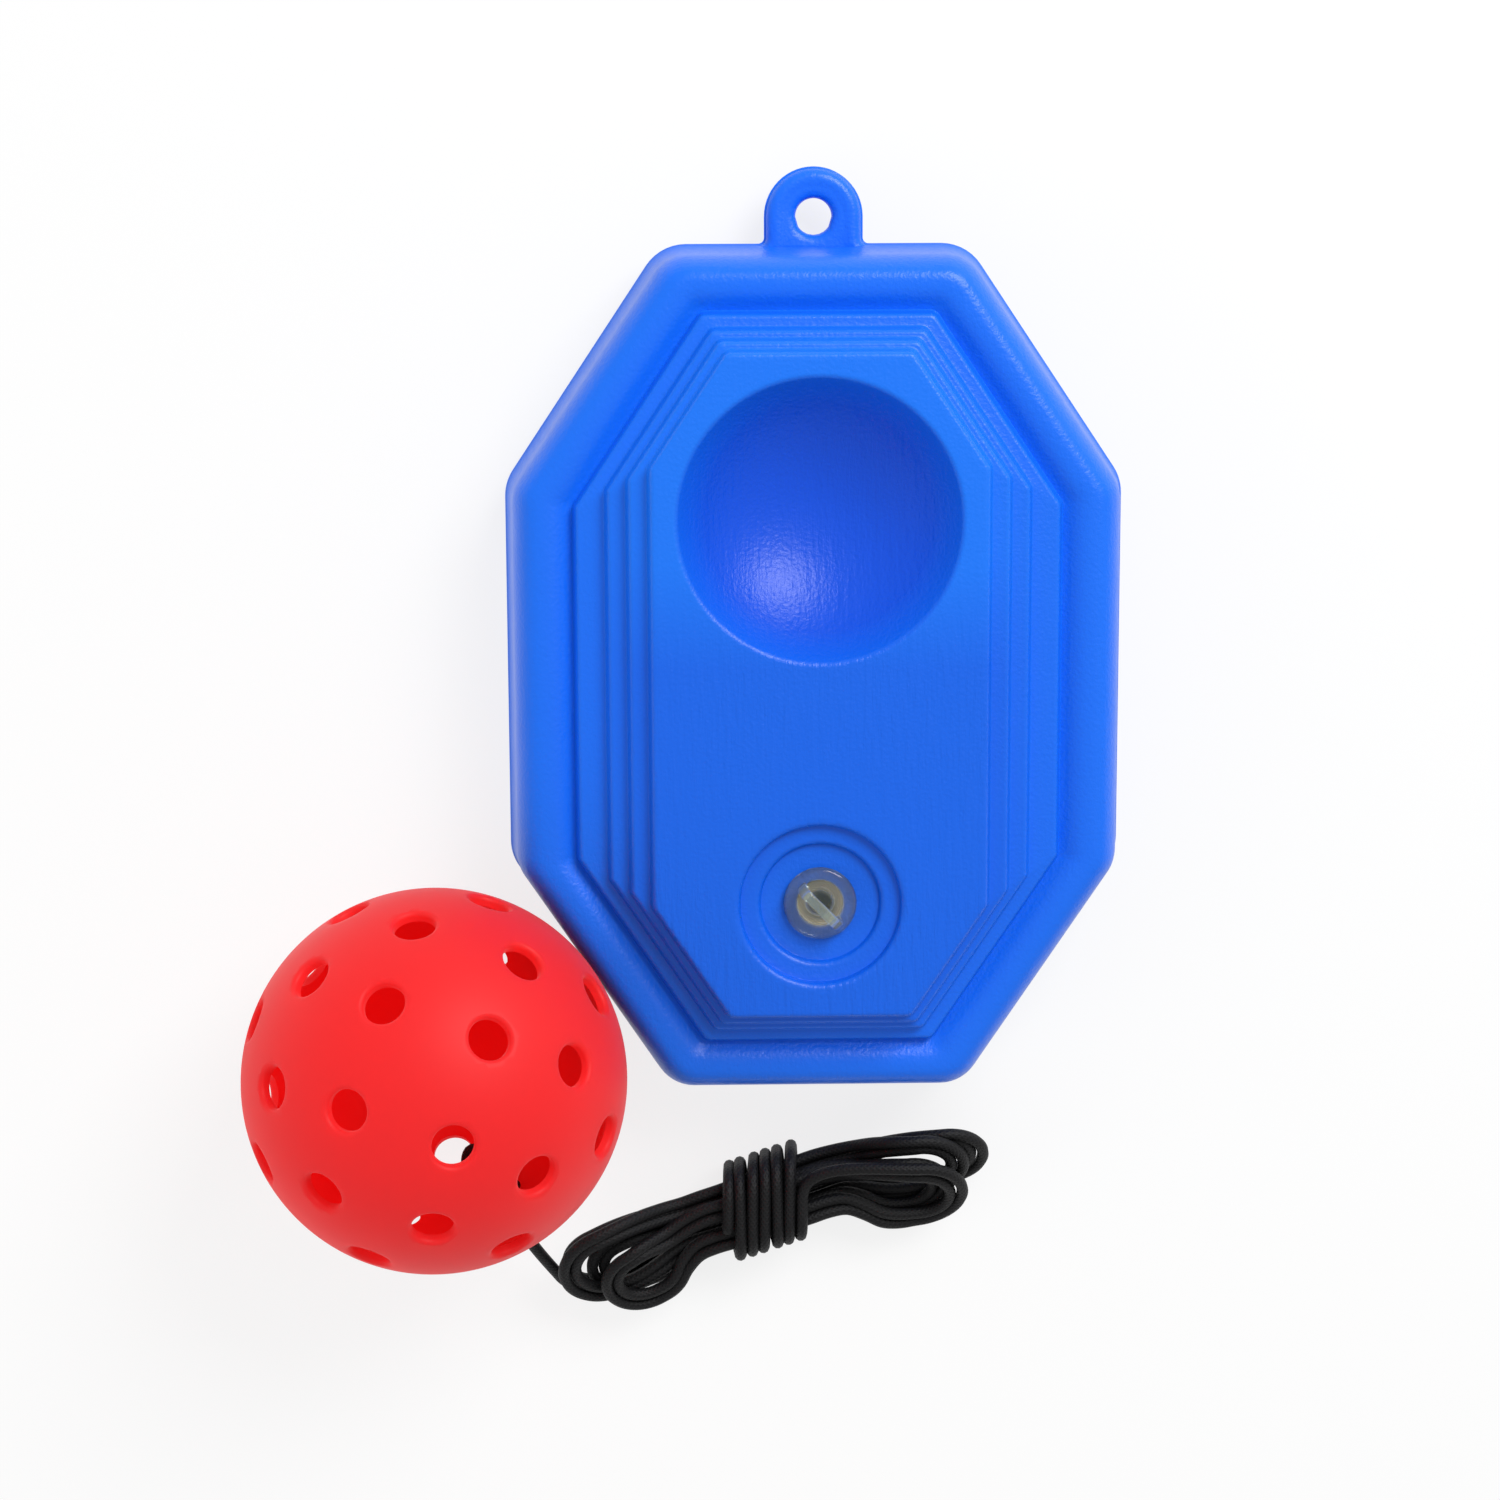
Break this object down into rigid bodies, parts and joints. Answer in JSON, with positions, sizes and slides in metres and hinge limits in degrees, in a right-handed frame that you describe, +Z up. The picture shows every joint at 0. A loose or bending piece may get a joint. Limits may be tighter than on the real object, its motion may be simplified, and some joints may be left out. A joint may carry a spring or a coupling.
{
  "type": "pickleball rebound trainer",
  "caption": "Hollow weighted base with a ball recess, filler plug and hanging tab, and a holed ball on an elastic cord made up into a hank.",
  "frame": {"origin": "on the floor, below the middle of the base's body without its tab", "axes": "+Z up out of the base's face, +Y along the base toward its hanging tab, +X to the right as the face is seen"},
  "size_m": [0.1712, 0.2376, 0.074],
  "materials": {
    "base": "satin blow-moulded polyethylene",
    "plug": "clear soft vinyl",
    "ball": "satin moulded plastic",
    "cord": "braided sheath on an elastic core"
  },
  "bodies": {
    "base": {"base_shell": "base"},
    "plug": {"filler_plug": "plug"},
    "cord": {"cord_knot": "cord", "cord_lead": "cord", "cord_hank": "cord"},
    "ball": {"ball_shell": "ball"}
  },
  "joints": [
    {"name": "plug_pull", "type": "slide", "parent": "base", "child": "plug", "axis": [0, 0, 1], "range_m": [0, 0.035]},
    {"name": "cord_lift", "type": "slide", "parent": "base", "child": "cord", "axis": [0, 0, 1], "range_m": [0, 0.15]},
    {"name": "ball_swivel", "type": "hinge", "parent": "cord", "child": "ball", "pos_m": [-0.07422, -0.07551, 0.037], "axis": [0.3478, -0.8441, -0.4081], "continuous": true}
  ]
}
